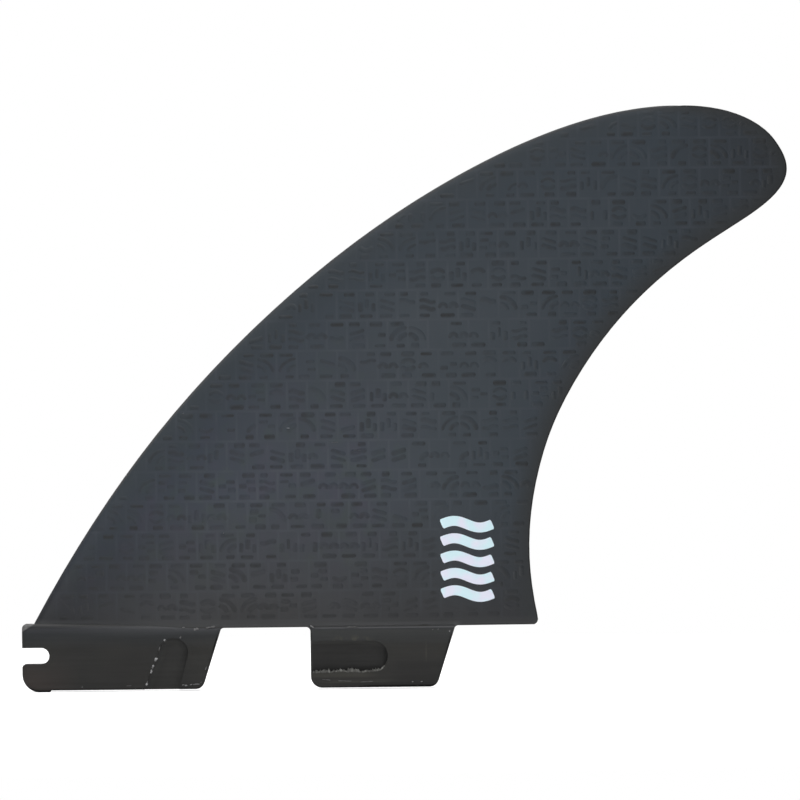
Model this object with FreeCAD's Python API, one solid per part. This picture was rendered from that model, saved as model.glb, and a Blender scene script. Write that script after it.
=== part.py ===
import FreeCAD, Part
import math
import os

# Side fin for a surfboard, moulded in one piece: a raked blade with a flat inside face and a
# foiled outside face, standing on two tabs that click and screw into the board.
# Sizes are millimetres. X runs from the leading side to the trailing side, and Z runs up
# from the seat plane, where the blade's underside meets the board. The outside face looks
# towards -Y. The origin is the middle of the two tabs together, on the seat plane.

V = FreeCAD.Vector
UP = V(0, 0, 1)
ACROSS = V(0, 1, 0)

# Blade
base_length = 115.5
blade_height = 117.6
nose_setback = 2.0            # from the front of the tabs to the foot of the leading edge
root_thickness = 5.8
tip_fullness = 0.35           # 0 thins in a straight line to the tip, 1 keeps an ellipse
thickest_at = 0.38            # share of each chord
nose_power = 0.5              # 0.5 gives a round nose, more gives a sharper one
nose_radius = 0.6
trailing_thickness = 0.9
heel_radius = 1.1             # rounding where the trailing edge meets the underside
apex_flat = 0.1               # the foiling stops this far below the highest point
stations = 15
points_along_chord = 11

# Leading and trailing edge: share of the base length behind its front, share of the height
leading_edge_shares = [
    (0.0000, 0.0000),
    (0.1074, 0.1790),
    (0.2608, 0.3861),
    (0.4360, 0.5698),
    (0.6609, 0.7531),
    (0.8598, 0.8747),
    (0.9809, 0.9318),
    (1.1073, 0.9754),
    (1.2335, 0.9982),
]
tip_edge_shares = [
    (1.3000, 1.0000),
    (1.3594, 0.9938),
    (1.4221, 0.9730),
    (1.4790, 0.9250),
    (1.4958, 0.8760),
    (1.4722, 0.8245),
    (1.4240, 0.7882),
]
trailing_edge_shares = [
    (1.3030, 0.7115),
    (1.2341, 0.6582),
    (1.1319, 0.5511),
    (1.0515, 0.4282),
    (0.9975, 0.2819),
    (0.9820, 0.1446),
    (1.0000, 0.0000),
]

# Tabs
tab_run = 98.4                # both tabs together, at the seat plane
tab_thickness = 6.3
tab_depth = 13.8
front_tab_length = 45.2
rear_tab_length = 32.9
rake_angle = 17.5             # rear end of each tab, away from upright
toe_length = 6.2
toe_drop = 0.4
toe_radius = 4.0
front_heel_radius = 2.0
rear_toe_radius = 2.6
rear_heel_radius = 2.2
tab_edge_radius = 0.45
root_radius = 1.0             # hollow rounding where a tab meets the blade's underside

# Collar, the top of the front tab that stands up round the foot of the blade
collar_front_height = 1.35
collar_rear_height = 0.45
collar_radius = 1.1

# Bar notch in the front end of the front tab
notch_height = 3.7
notch_depth = 6.2
notch_drop = 5.95             # seat plane to the middle of the notch
notch_lip_radius = 0.9        # rounding of the lip under the notch's mouth

# Grub screw pocket in each side of the front tab, open at the bottom
screw_pocket_width = 6.6
screw_pocket_top = 2.2        # seat plane to the top of the pocket
screw_pocket_behind = 32.05   # front of the tab to the pocket's front side, at its top
screw_pocket_flare_angle = 3.0  # degrees that each side opens downwards
pocket_depth = 1.8

# Ball pocket in each side of the rear tab, open at the front
ball_pocket_height = 6.9
ball_pocket_length = 17.5
ball_pocket_drop = 6.7        # seat plane to the middle of the pocket

inside_y = root_thickness / 2
front_x = -tab_run / 2
rear_x = tab_run / 2
blade_front_x = front_x + nose_setback
front_tab_rear_x = front_x + front_tab_length
rear_tab_front_x = rear_x - rear_tab_length
rake_per_drop = math.tan(math.radians(rake_angle))
clear = 1.0                   # how far a cutting tool runs past what it cuts
round_end = 0.49              # radius of a rounded end as a share of its width, just under half
level = 1e-6                  # two measures closer than this are the same


def point(x, z, y=0.0):
    """A point given by its place in the side view, then by its distance across."""
    return V(x, y, z)


def blade_point(shares):
    """A point of the blade's outline from its shares of the base length and the height."""
    return point(blade_front_x + base_length * shares[0], blade_height * shares[1])


def blade_outline():
    """The blade's side view as a face: one smooth edge from nose to heel, and the base line."""
    outline_shares = leading_edge_shares + tip_edge_shares + trailing_edge_shares
    edge = Part.BSplineCurve()
    edge.interpolate([blade_point(shares) for shares in outline_shares])
    base = Part.LineSegment(blade_point(trailing_edge_shares[-1]), blade_point(leading_edge_shares[0]))
    return Part.Face(Part.Wire([edge.toShape(), base.toShape()]))


def chord_at(outline, z):
    """Front and rear of the outline at height z."""
    if z == 0:
        return blade_point(leading_edge_shares[0]).x, blade_point(trailing_edge_shares[-1]).x
    box = outline.slice(UP, z)[0].BoundBox
    return box.XMin, box.XMax


def foil_share(along):
    """Height of the foil at a share of the chord, as a share of its greatest height."""
    tail_power = nose_power * (1 - thickest_at) / thickest_at
    rise = (along / thickest_at) ** nose_power
    fall = ((1 - along) / (1 - thickest_at)) ** tail_power
    return rise * fall


def span_share(z):
    """How much of the root's foiling is left at height z."""
    up = z / blade_height
    return (1 - tip_fullness) * (1 - up) + tip_fullness * math.sqrt(1 - up * up)


def foil_section(outline, z):
    """Closed section at height z: flat inside, round nose, foiled outside, square tail.

    The foiled side's points lie at the squares of even steps along the chord, so that they
    crowd round the nose, and the steps are the same in every section.
    """
    x_nose, x_tail = chord_at(outline, z)
    rise = (root_thickness - nose_radius) * span_share(z)
    steps = [i / (points_along_chord - 1) for i in range(points_along_chord)]
    skin = []
    for step in steps:
        along = step ** 2
        edge_thickness = nose_radius + (trailing_thickness - nose_radius) * along
        thickness = edge_thickness + rise * foil_share(along)
        skin.append(point(x_nose + (x_tail - x_nose) * along, z, inside_y - thickness))
    outside = Part.BSplineCurve()
    outside.interpolate(Points=skin, Parameters=steps)
    flat_start = point(x_nose + nose_radius, z, inside_y)
    flat_end = point(x_tail, z, inside_y)
    turn = nose_radius * (1 - math.sqrt(0.5))
    nose = Part.Arc(flat_start, point(x_nose + turn, z, inside_y - turn), skin[0])
    tail = Part.LineSegment(skin[-1], flat_end)
    inside = Part.LineSegment(flat_end, flat_start)
    return Part.Wire([side.toShape() for side in (nose, outside, tail, inside)])


def rounded_face(corners):
    """A face in the side view from corners (x, z, radius), each radius an arc between sides."""
    edges = []
    last = None
    first = None
    for i, (x, z, radius) in enumerate(corners):
        here = point(x, z)
        back = point(*corners[i - 1][:2]) - here
        ahead = point(*corners[(i + 1) % len(corners)][:2]) - here
        start = end = here
        if radius > 0:
            half = back.getAngle(ahead) / 2
            back.normalize()
            ahead.normalize()
            reach = radius / math.tan(half)
            start = here + back * reach
            end = here + ahead * reach
            middle = here + (back + ahead).normalize() * (radius / math.sin(half) - radius)
            arc = Part.Arc(start, middle, end).toShape()
        if last is not None:
            edges.append(Part.LineSegment(last, start).toShape())
        else:
            first = start
        if radius > 0:
            edges.append(arc)
        last = end
    edges.append(Part.LineSegment(last, first).toShape())
    return Part.Face(Part.Wire(edges))


def slab(face, y_from, y_to):
    """A side-view face given thickness between two distances across."""
    start = face.translated(ACROSS * y_from)
    return start.extrude(ACROSS * (y_to - y_from))


def in_both_sides(cut_face, tab):
    """The tab with one pocket of the given side view sunk into each of its faces."""
    skin = tab_thickness / 2
    outer = slab(cut_face, -skin - clear, -skin + pocket_depth)
    inner = slab(cut_face, skin - pocket_depth, skin + clear)
    return tab.cut(outer).cut(inner)


def is_rim(edge):
    """True for an edge that runs round one of a tab's two side faces."""
    box = edge.BoundBox
    return box.YLength < level and abs(abs(box.YMin) - tab_thickness / 2) < level


def is_top_rim(edge):
    """True for a rim edge that lies along the top of a tab."""
    return is_rim(edge) and edge.BoundBox.ZMin > -level


def blade():
    """The foiled blade, lofted through level sections that crowd together towards the apex."""
    outline = blade_outline()
    top = blade_height - apex_flat
    heights = [top * math.sin(math.pi / 2 * i / (stations - 1)) for i in range(stations)]
    body = Part.makeLoft([foil_section(outline, z) for z in heights], True, False)
    return body.cut(heel_cutter(outline))


def heel_cutter(outline):
    """What is cut away to round the corner between the underside and the trailing edge."""
    x_low = blade_point(trailing_edge_shares[-1]).x
    x_high = chord_at(outline, 2 * heel_radius)[1]
    lean = (x_high - x_low) / (2 * heel_radius)
    past = 4 * heel_radius
    keep = rounded_face([
        (x_low - past, 0, 0),
        (x_low, 0, heel_radius),
        (x_low + lean * past, past, 0),
        (x_low - past, past, 0),
    ])
    square = rounded_face([
        (x_low - heel_radius, -clear, 0),
        (x_low + 2 * clear, -clear, 0),
        (x_low + 2 * clear, heel_radius, 0),
        (x_low - heel_radius, heel_radius, 0),
    ])
    return slab(square.cut(keep), -root_thickness, root_thickness)


def notch():
    """Round-ended slot in the front of the front tab that drops over the bar in the board.

    Its mouth takes in the corner that the lip below it loses to its rounding.
    """
    radius = notch_height / 2
    middle_x = front_x + notch_depth - radius
    reach = tab_thickness / 2 + clear
    low = -notch_drop - radius
    mouth = slab(rounded_face([
        (front_x - clear, -notch_drop + radius, 0),
        (middle_x, -notch_drop + radius, 0),
        (middle_x, low, 0),
        (front_x, low, notch_lip_radius),
        (front_x, low - 2 * notch_lip_radius, 0),
        (front_x - clear, low - 2 * notch_lip_radius, 0),
    ]), -reach, reach)
    end = Part.makeCylinder(radius, 2 * reach, point(middle_x, -notch_drop, -reach), ACROSS)
    return mouth.fuse(end)


def screw_pocket():
    """Side view of the grub screw pocket: round top, sides that open slightly downwards."""
    flare = math.radians(screw_pocket_flare_angle)
    rake = math.radians(rake_angle)
    run = tab_depth
    x_top = front_x + screw_pocket_behind
    low = -screw_pocket_top - run
    turn = screw_pocket_width * round_end
    return rounded_face([
        (x_top, -screw_pocket_top, turn),
        (x_top + screw_pocket_width, -screw_pocket_top, turn),
        (x_top + screw_pocket_width - run * math.tan(rake - flare), low, 0),
        (x_top - run * math.tan(rake + flare), low, 0),
    ])


def front_tab():
    """Front tab with its collar, bar notch and screw pockets."""
    skin = tab_thickness / 2
    toe_x = front_x + toe_length
    corners = [
        (front_x, collar_front_height, collar_radius),
        (front_tab_rear_x, collar_rear_height, 0),
        (front_tab_rear_x, 0, 0),
        (front_tab_rear_x - tab_depth * rake_per_drop, -tab_depth, front_heel_radius),
        (toe_x + toe_drop, -tab_depth, 0),
        (toe_x, -tab_depth - toe_drop, 0),
        (front_x, -tab_depth - toe_drop, toe_radius),
    ]
    tab = slab(rounded_face(corners), -skin, skin)
    tab = tab.makeFillet(collar_radius, [e for e in tab.Edges if is_top_rim(e)])
    tab = tab.makeFillet(tab_edge_radius, [e for e in tab.Edges if is_rim(e)])
    return in_both_sides(screw_pocket(), tab.cut(notch()))


def ball_pocket():
    """Side view of the ball pocket: level, round at its rear end and open at the front."""
    x_open = rear_tab_front_x - clear
    x_end = rear_tab_front_x + ball_pocket_length
    high = -ball_pocket_drop + ball_pocket_height / 2
    low = -ball_pocket_drop - ball_pocket_height / 2
    turn = ball_pocket_height * round_end
    return rounded_face([
        (x_open, high, 0),
        (x_end, high, turn),
        (x_end, low, turn),
        (x_open, low, 0),
    ])


def rear_tab():
    """Rear tab with its ball pockets."""
    skin = tab_thickness / 2
    tab = slab(rounded_face([
        (rear_tab_front_x, 0, 0),
        (rear_x, 0, 0),
        (rear_x - tab_depth * rake_per_drop, -tab_depth, rear_heel_radius),
        (rear_tab_front_x, -tab_depth, rear_toe_radius),
    ]), -skin, skin)
    tab = tab.makeFillet(tab_edge_radius, [e for e in tab.Edges if is_rim(e)])
    return in_both_sides(ball_pocket(), tab)


def root_gusset(x_edge, lean, way):
    """Hollow rounding between a tab's end at x_edge and the blade's underside.

    way is +1 where the gusset lies behind the tab and -1 where it lies in front of it; lean
    is how far the tab's end moves along X for each millimetre down.
    """
    drop = tab_depth / 2
    hollow = rounded_face([
        (x_edge + way * drop, 0, 0),
        (x_edge, 0, root_radius),
        (x_edge + lean * drop, -drop, 0),
        (x_edge + way * drop, -drop, 0),
    ])
    reach = 2 * root_radius
    block = rounded_face([
        (x_edge - way * reach, 0, 0),
        (x_edge + way * reach, 0, 0),
        (x_edge + way * reach, -reach, 0),
        (x_edge - way * reach, -reach, 0),
    ])
    return slab(block.cut(hollow), -tab_thickness / 2, tab_thickness / 2)


def fin():
    """Blade and tabs as one moulding."""
    body = blade()
    underside = min(body.Faces, key=lambda face: face.CenterOfMass.z)
    shadow = underside.extrude(UP * -tab_depth)
    gussets = [
        root_gusset(front_tab_rear_x, -rake_per_drop, 1),
        root_gusset(rear_tab_front_x, 0, -1),
        root_gusset(rear_x, -rake_per_drop, 1),
    ]
    tabs = [front_tab(), rear_tab()]
    for gusset in gussets:
        body = body.fuse(gusset.common(shadow))
    return body.fuse(tabs).removeSplitter()


os.makedirs("parts", exist_ok=True)
fin().exportStep("parts/fin.step")
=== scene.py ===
import math

import bpy
import numpy as np
from mathutils import Matrix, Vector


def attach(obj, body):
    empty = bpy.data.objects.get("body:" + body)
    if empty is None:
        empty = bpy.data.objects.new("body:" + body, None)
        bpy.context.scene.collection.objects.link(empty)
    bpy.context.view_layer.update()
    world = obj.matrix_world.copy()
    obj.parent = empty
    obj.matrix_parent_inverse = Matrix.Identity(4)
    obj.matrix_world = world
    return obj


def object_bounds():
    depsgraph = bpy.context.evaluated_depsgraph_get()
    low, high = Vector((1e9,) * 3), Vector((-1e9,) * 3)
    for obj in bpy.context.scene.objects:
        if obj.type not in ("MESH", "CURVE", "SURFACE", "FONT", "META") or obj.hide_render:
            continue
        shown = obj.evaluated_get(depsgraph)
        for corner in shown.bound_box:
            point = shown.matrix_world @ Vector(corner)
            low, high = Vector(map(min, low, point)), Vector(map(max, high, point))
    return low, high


# The looks of a moulded surfboard fin: a smooth skin over the foiled blade, the all-over relief
# pressed into both of its faces, a pale printed mark near the base, and the torn flash, chips
# and scuffs of the two tabs. Sizes are millimetres, and MM makes metres of them for the scene.
MM = 0.001

# Foil, as the solid has it
nose_radius = 0.6
trailing_thickness = 0.9
thickest_at = 0.38
nose_power = 0.5
tip_fullness = 0.35
blade_only_height = 5.0        # above this the solid has nothing but the blade
collar_clear_height = 1.6      # above this the blade stands free of the collar
nose_slope_levels = 6          # levels just above the collar that give the nose's slope in it
apex_flat = 0.1

# Skin over the blade
skin_proud = 0.07
skin_rows = 170
apex_rows = 6                  # over the flat that the solid has at its highest point
last_closing = 0.97            # share of the flat's height at which the skin is capped
skin_columns = 76
tail_corner_radius = 0.22
corner_points = 5
skin_foot = 0.02
sharp_angle = 40.0             # edges of a piece sharper than this, in degrees, are not smoothed

# Relief on both faces
tile_width = 4.6
tile_height = 6.8
tile_columns = range(-12, 32)  # enough in each row to cross the blade
stroke_points = 9
stroke_half_width = 0.72
stroke_shoulder = (0.5, 0.62)
relief_height = 0.06
relief_seed = 7
worn_away = 0.14               # share of the strokes that are gone
bar_level = 0.14               # share of a tile's height from its foot or top to the bar there
between_bars_tone = 0.65       # depth of tone of the strokes between the bars, next to the bars
relief_border = 0.6            # smooth rim inside the blade's outline
relief_fade = 1.4              # over this width the relief rises from nothing to its full height
relief_above_base = 1.5
base_fade = 1.0

# Printed mark
mark_left = 46.2
mark_right = 58.0
mark_low = 5.2
mark_high = 24.9
mark_bands = 5
mark_half_width = 0.29         # of a band, as a share of the pitch of the bands
mark_wave = 0.2                # height of a band's wave, in the same way
mark_proud = 0.035
mark_shoulder = (0.97, 1.0)
mark_points = 48
mark_clear = 0.9               # from the mark to where the relief starts
mark_fade = 1.2

# Tabs and their pockets, as the solid has them
tab_face_y = 3.15
tab_run = 98.4
front_tab_length = 45.2
rear_tab_length = 32.9
collar_front_height = 1.35
collar_rear_height = 0.45
tab_rake = 0.3153              # how far a tab's rear end moves forward for each millimetre down
ball_pocket_length = 17.5
ball_pocket_height = 6.9
ball_pocket_drop = 6.7
screw_pocket_right = -10.55    # its rear side at the seat plane's level, if it went on up there
screw_pocket_slope = 0.259     # how far that side moves forward for each millimetre down
screw_pocket_left = -16.33     # its front side, in the same way
screw_pocket_left_slope = 0.374
screw_pocket_crown_x = -14.6   # middle of its rounded rear top corner
screw_pocket_crown_z = -5.45
shoulder_facet_slope = 1.6          # slant of the lit facet at the front tab's top front corner: a painted highlight above it, a painted shade line along it

# Where the tabs end, and where the ball pocket's straight edges turn into its round end
tabs_front_x = -tab_run / 2
tabs_rear_x = tab_run / 2
front_tab_rear_x = front_tab_length - tab_run / 2
rear_tab_front_x = tab_run / 2 - rear_tab_length
ball_pocket_turn_x = rear_tab_front_x + ball_pocket_length - ball_pocket_height / 2

# Low ribs, chips, dust and torn flash
rib_sink = 0.1                 # how deep the feet of a rib stand in the face
fleck_sink = 0.05
fleck_points = 9
chip_height = 0.08
chip_seed = 21
dust_height = 0.12
dust_seed = 23
burr_start = 0.5               # from the front end of the rear tab
burr_turn = math.radians(50)   # how far the torn flash goes round the pocket's end
burr_level_points = 110
burr_arc_points = 26
burr_fade_points = 14          # over these at its end it dies away
burr_reach = 0.85              # of its torn lip at the longest
burr_height = 0.12
burr_wander = 0.38             # how far its line strays up and down

# Finishes
grain_depth = 0.02
# near_black is also the colour of the painted shade on the tabs
near_black = (0.0010, 0.0010, 0.0010)

# Studio floor: solid round the fin, gone at its rim
floor_solid = 140.0
floor_radius = 460.0
floor_points = 96

# Camera, square to the outside face, with the small turn that the picture has
frame_width = 181.8
view_centre_x = 37.18
view_centre_z = 51.31
view_roll = math.radians(0.6)
lens = 400.0
sensor = 36.0
clip_near = 10.0
clip_far = 20000.0

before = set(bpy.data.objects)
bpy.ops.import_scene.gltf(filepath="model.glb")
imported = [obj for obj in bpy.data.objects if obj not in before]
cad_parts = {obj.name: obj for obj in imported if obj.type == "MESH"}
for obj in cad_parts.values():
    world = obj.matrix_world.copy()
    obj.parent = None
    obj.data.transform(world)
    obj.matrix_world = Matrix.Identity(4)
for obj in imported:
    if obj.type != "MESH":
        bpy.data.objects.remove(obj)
cad_low, cad_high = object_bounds()
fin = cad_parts["fin"]


def node_edges(node):
    """Both ends of each edge of a CAD node's mesh, in millimetres, as edges by 2 by 3."""
    mesh = node.data
    places = np.empty(len(mesh.vertices) * 3, np.float32)
    mesh.vertices.foreach_get("co", places)
    ends = np.empty(len(mesh.edges) * 2, np.int32)
    mesh.edges.foreach_get("vertices", ends)
    return places.reshape(-1, 3)[ends.reshape(-1, 2)].astype(float) / MM


def crossing_span(edges, heights):
    """Least and greatest x of the edges at each height: each edge that passes the height is
    cut there by the straight line between its two ends."""
    low = edges[:, 0]
    high = edges[:, 1]
    run = high[:, 2] - low[:, 2]
    run = np.where(np.abs(run) < 1e-9, 1e-9, run)
    share = (heights[:, None] - low[None, :, 2]) / run
    x = low[None, :, 0] + share * (high[:, 0] - low[:, 0])
    passes = (share >= 0) & (share <= 1)
    front = np.where(passes, x, np.inf).min(axis=1)
    rear = np.where(passes, x, -np.inf).max(axis=1)
    return front, rear


blade_edges = node_edges(fin)
inside_y = blade_edges[blade_edges[:, 0, 2] > blade_only_height][:, 0, 1].max()
root_thickness = 2 * inside_y
blade_top = cad_high.z / MM
blade_height = blade_top + apex_flat
levels = blade_top * np.sin(np.pi / 2 * np.linspace(0, 1, skin_rows))
levels[0] = skin_foot
levels[-1] = blade_top - 1e-4
fronts, rears = crossing_span(blade_edges, levels)
# Inside the collar the nose goes on in the straight line that it has just above it
free = levels > collar_clear_height
nose_line = np.polyfit(levels[free][:nose_slope_levels], fronts[free][:nose_slope_levels], 1)
fronts = np.where(free, fronts, np.polyval(nose_line, levels))
# Over the flat top the chord closes like the top of a parabola
closing = np.linspace(0, last_closing, apex_rows + 1)[1:]
half_chord = (rears[-1] - fronts[-1]) / 2 * np.sqrt(1 - closing)
middle_x = (fronts[-1] + rears[-1]) / 2
levels = np.concatenate([levels, levels[-1] + apex_flat * closing])
fronts = np.concatenate([fronts, middle_x - half_chord])
rears = np.concatenate([rears, middle_x + half_chord])


def foil_thickness(x, z):
    """Thickness of the blade at a place: the edge thickness runs straight from nose to tail,
    and the foil adds a hump, (share / crest) ^ power times ((1 - share) / (1 - crest)) ^ power,
    which thins towards the tip by a straight line mixed with a quarter ellipse."""
    front = np.interp(z, levels, fronts)
    rear = np.interp(z, levels, rears)
    along = np.clip((x - front) / np.maximum(rear - front, 1e-6), 0, 1)
    up = np.clip(z / blade_height, 0, 1)
    span = (1 - tip_fullness) * (1 - up) + tip_fullness * np.sqrt(1 - up * up)
    tail_power = nose_power * (1 - thickest_at) / thickest_at
    hump = (along / thickest_at) ** nose_power * ((1 - along) / (1 - thickest_at)) ** tail_power
    edge = nose_radius + (trailing_thickness - nose_radius) * along
    return edge + (root_thickness - nose_radius) * span * hump


def from_nose(x, z):
    """Rough distance to the leading edge: the level distance shortened by the edge's slope."""
    slope_here = np.interp(z, levels, np.gradient(fronts, levels))
    return (x - np.interp(z, levels, fronts)) / np.hypot(1, slope_here)


def from_tail(x, z):
    """Rough distance to the trailing edge, worked out in the same way."""
    slope_here = np.interp(z, levels, np.gradient(rears, levels))
    return (np.interp(z, levels, rears) - x) / np.hypot(1, slope_here)


def rim_distance(x, z):
    """Rough distance to the blade's outline or to its top, whichever is nearer."""
    return np.minimum(np.minimum(from_nose(x, z), from_tail(x, z)), blade_top - z)


def ease(value, start, width):
    """0 before start, 1 from a width further on, and a smooth S between."""
    t = np.clip((value - start) / width, 0, 1)
    return t * t * (3 - 2 * t)


def stacked(*parts):
    """Numbers or arrays brought to one shape, side by side along a new last axis."""
    return np.stack(np.broadcast_arrays(*parts), axis=-1)


def ring_faces(rows, columns):
    """Quads between rows of points, each row a closed ring."""
    i = np.arange(rows - 1)[:, None] * columns
    j = np.arange(columns)[None, :]
    k = (j + 1) % columns
    return stacked(i + j, i + k, i + columns + k, i + columns + j).reshape(-1, 4)


def add_piece(name, points, faces, material):
    """A finished piece of the fin from points in millimetres. It rides on the one body."""
    mesh = bpy.data.meshes.new(name)
    mesh.from_pydata((np.asarray(points).reshape(-1, 3) * MM).tolist(), [], faces)
    mesh.polygons.foreach_set("use_smooth", np.ones(len(mesh.polygons), bool))
    mesh.set_sharp_from_angle(angle=math.radians(sharp_angle))
    mesh.materials.append(material)
    piece = bpy.data.objects.new(name, mesh)
    bpy.context.scene.collection.objects.link(piece)
    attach(piece, "root")
    return piece


def set_values(piece, name, values):
    """A named value for each point of a piece, for its material to read."""
    attribute = piece.data.attributes.new(name, "FLOAT", "POINT")
    attribute.data.foreach_set("value", np.asarray(values, np.float32).ravel())


def set_rim_values(piece, points):
    """How far each point of a piece lies behind the leading edge and before the trailing one."""
    set_values(piece, "from_nose", from_nose(points[..., 0], points[..., 2]))
    set_values(piece, "from_tail", from_tail(points[..., 0], points[..., 2]))


def blade_skin_points():
    """Skin of the blade, one closed ring per level: along the foiled face with points at the
    squares of even steps, round the tail's two corners, back along the flat face and round the
    nose in a quarter circle. Both radii shrink with the chord near the tip. Every point is then
    moved out along the surface's own normal."""
    z = levels[:, None]
    front = fronts[:, None]
    rear = rears[:, None]
    chord = rear - front
    corner = np.minimum(tail_corner_radius, 0.2 * chord)
    nose = np.minimum(nose_radius, 0.4 * chord)
    steps = np.linspace(0, 1, skin_columns)[None, :]
    foiled_x = front + (chord - corner) * steps ** 2
    foiled_y = inside_y - foil_thickness(foiled_x, z)
    turn = np.linspace(0, np.pi / 2, corner_points)[None, 1:]
    outer_x = rear - corner + corner * np.sin(turn)
    outer_y = foiled_y[:, -1:] + corner * (1 - np.cos(turn))
    inner_x = rear - corner + corner * np.cos(turn)
    inner_y = inside_y - corner * (1 - np.sin(turn))
    back = np.linspace(1, 0, skin_columns // 2)[None, 1:]
    flat_x = front + nose + (chord - corner - nose) * back
    flat_y = np.full_like(flat_x, inside_y)
    round_x = front + nose * (1 - np.sin(turn[:, :-1]))
    round_y = inside_y - nose * (1 - np.cos(turn[:, :-1]))
    x = np.hstack([foiled_x, outer_x, inner_x, flat_x, round_x])
    y = np.hstack([foiled_y, outer_y, inner_y, flat_y, round_y])
    points = stacked(x, y, z)
    around = np.roll(points, -1, axis=1) - np.roll(points, 1, axis=1)
    upward = np.gradient(points, axis=0)
    normal = np.cross(around, upward)
    normal /= np.maximum(np.linalg.norm(normal, axis=-1, keepdims=True), 1e-9)
    normal[-1, :, 2] = 0
    return points + skin_proud * normal


def add_blade_skin(material):
    """The smooth skin, closed by a level face at its foot and at its top."""
    points = blade_skin_points()
    rows, columns = points.shape[:2]
    ring = np.arange(columns)
    faces = ring_faces(rows, columns).tolist()
    faces.append(ring[::-1].tolist())
    faces.append((ring + (rows - 1) * columns).tolist())
    set_rim_values(add_piece("blade_skin", points, faces, material), points)


def foiled_face(x, z):
    """Depth of the skin on the foiled outside face."""
    return inside_y - foil_thickness(x, z) - skin_proud


def flat_face(x, z):
    """Depth of the skin on the flat inside face."""
    return inside_y + skin_proud


def tab_face(x, z):
    """Depth of the tabs' outside face."""
    return -tab_face_y


def everywhere(x, z):
    """Full height at every place."""
    return 1.0


def within_blade(x, z):
    """Height of the relief at a place: nothing at the rim and the base, full further in."""
    inward = ease(rim_distance(x, z), relief_border, relief_fade)
    return inward * ease(z, relief_above_base, base_fade)


def outside_blade(x, z):
    """As within_blade, and nothing round the printed mark."""
    beside = np.maximum(mark_left - x, x - mark_right)
    beyond = np.maximum(mark_low - z, z - mark_high)
    return within_blade(x, z) * ease(np.maximum(beside, beyond), mark_clear, mark_fade)


def ribs(paths, half_width, height, face, side, strength=everywhere, shoulder=(0.4, 1.0),
         sink=rib_sink):
    """Low ribs carried along paths in the side view, on a face that looks towards side. Each
    section has six points: two feet sunk in the face, a shoulder on each side of a crest, and a
    keel below. The shoulders stand at a share of the half width and a share of the height; at
    both ends of a path the rib is half as wide and falls to its feet. half_width is one number,
    or one for each path, or one for each point of each path. Returns the points and the faces."""
    count, steps = paths.shape[:2]
    along = np.gradient(paths, axis=1)
    along /= np.maximum(np.linalg.norm(along, axis=-1, keepdims=True), 1e-9)
    sideways = stacked(-along[..., 1], along[..., 0])
    middle = np.ones(steps)
    middle[[0, -1]] = 0
    reach, rise = shoulder
    spread = np.array([-1.0, -reach, 0.0, reach, 1.0, 0.0]) * (0.5 + 0.5 * middle[:, None])
    wide = np.broadcast_to(half_width, (count, steps))[..., None] * spread[None]
    place = paths[:, :, None, :] + sideways[:, :, None, :] * wide[..., None]
    x = place[..., 0]
    z = place[..., 1]
    tops = np.array([0.0, rise, 1.0, rise, 0.0, 0.0]) * middle[:, None]
    feet = np.array([0.2, 0.2, 0.2, 0.2, 0.2, 1.0]) * (tops == 0)
    lift = tops * strength(x, z) * height - feet * sink
    points = stacked(x, face(x, z) + side * lift, z)
    quads = ring_faces(steps, 6)
    caps = np.stack([np.arange(6)[::-1], np.arange(6) + (steps - 1) * 6])
    if side > 0:
        quads = quads[:, ::-1]
        caps = caps[:, ::-1]
    first = np.arange(count)[:, None, None] * steps * 6
    quads = (first + quads[None]).reshape(-1, 4)
    caps = (first + caps[None]).reshape(-1, 6)
    return points, quads.tolist() + caps.tolist()


def tile_motifs():
    """Strokes of each kind of tile, as paths in shares of the tile. Each kind starts with a
    level bar near its foot and one near its top. Between them stand scales, a leaf, waves,
    broken bars, uprights of uneven length, slanting bars or quarter rings."""
    t = np.linspace(0, 1, stroke_points)
    arc = np.pi * t

    def bar(level, start, end):
        return stacked(start + (end - start) * t, level)

    scales = [
        stacked(middle - 0.2 * np.cos(arc), 0.36 + 0.16 * np.sin(arc)) for middle in (0.25, 0.75)
    ]
    leaf = [stacked(0.12 + 0.76 * t, 0.5 + way * (0.04 + 0.13 * np.sin(arc))) for way in (-1, 1)]
    waves = [stacked(0.06 + 0.86 * t, level + 0.04 * np.sin(2 * arc)) for level in (0.38, 0.62)]
    broken = [bar(0.38, 0.06, 0.48), bar(0.50, 0.52, 0.92), bar(0.64, 0.10, 0.56)]
    posts = [
        stacked(across, start + (end - start) * t)
        for across, start, end in ((0.18, 0.27, 0.62), (0.50, 0.38, 0.74), (0.82, 0.27, 0.58))
    ]
    slants = [stacked(0.10 + 0.78 * t, rise + 0.16 * t) for rise in (0.30, 0.52)]
    rings = [
        stacked(radius * np.cos(arc / 2), 0.27 + 0.56 * radius * np.sin(arc / 2))
        for radius in (0.44, 0.84)
    ]
    kinds = [
        (scales, (0.10, 0.86), (0.30, 0.90)), (leaf, (0.16, 0.70), (0.14, 0.84)),
        (waves, (0.08, 0.62), (0.12, 0.54)), (broken, (0.34, 0.92), (0.10, 0.78)),
        (posts, (0.12, 0.80), (0.40, 0.88)), (slants, (0.22, 0.90), (0.08, 0.66)),
        (rings, (0.14, 0.58), (0.16, 0.88)),
    ]
    return [
        [bar(bar_level, *foot_ends), bar(1 - bar_level, *top_ends)] + between
        for between, foot_ends, top_ends in kinds
    ]


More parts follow.
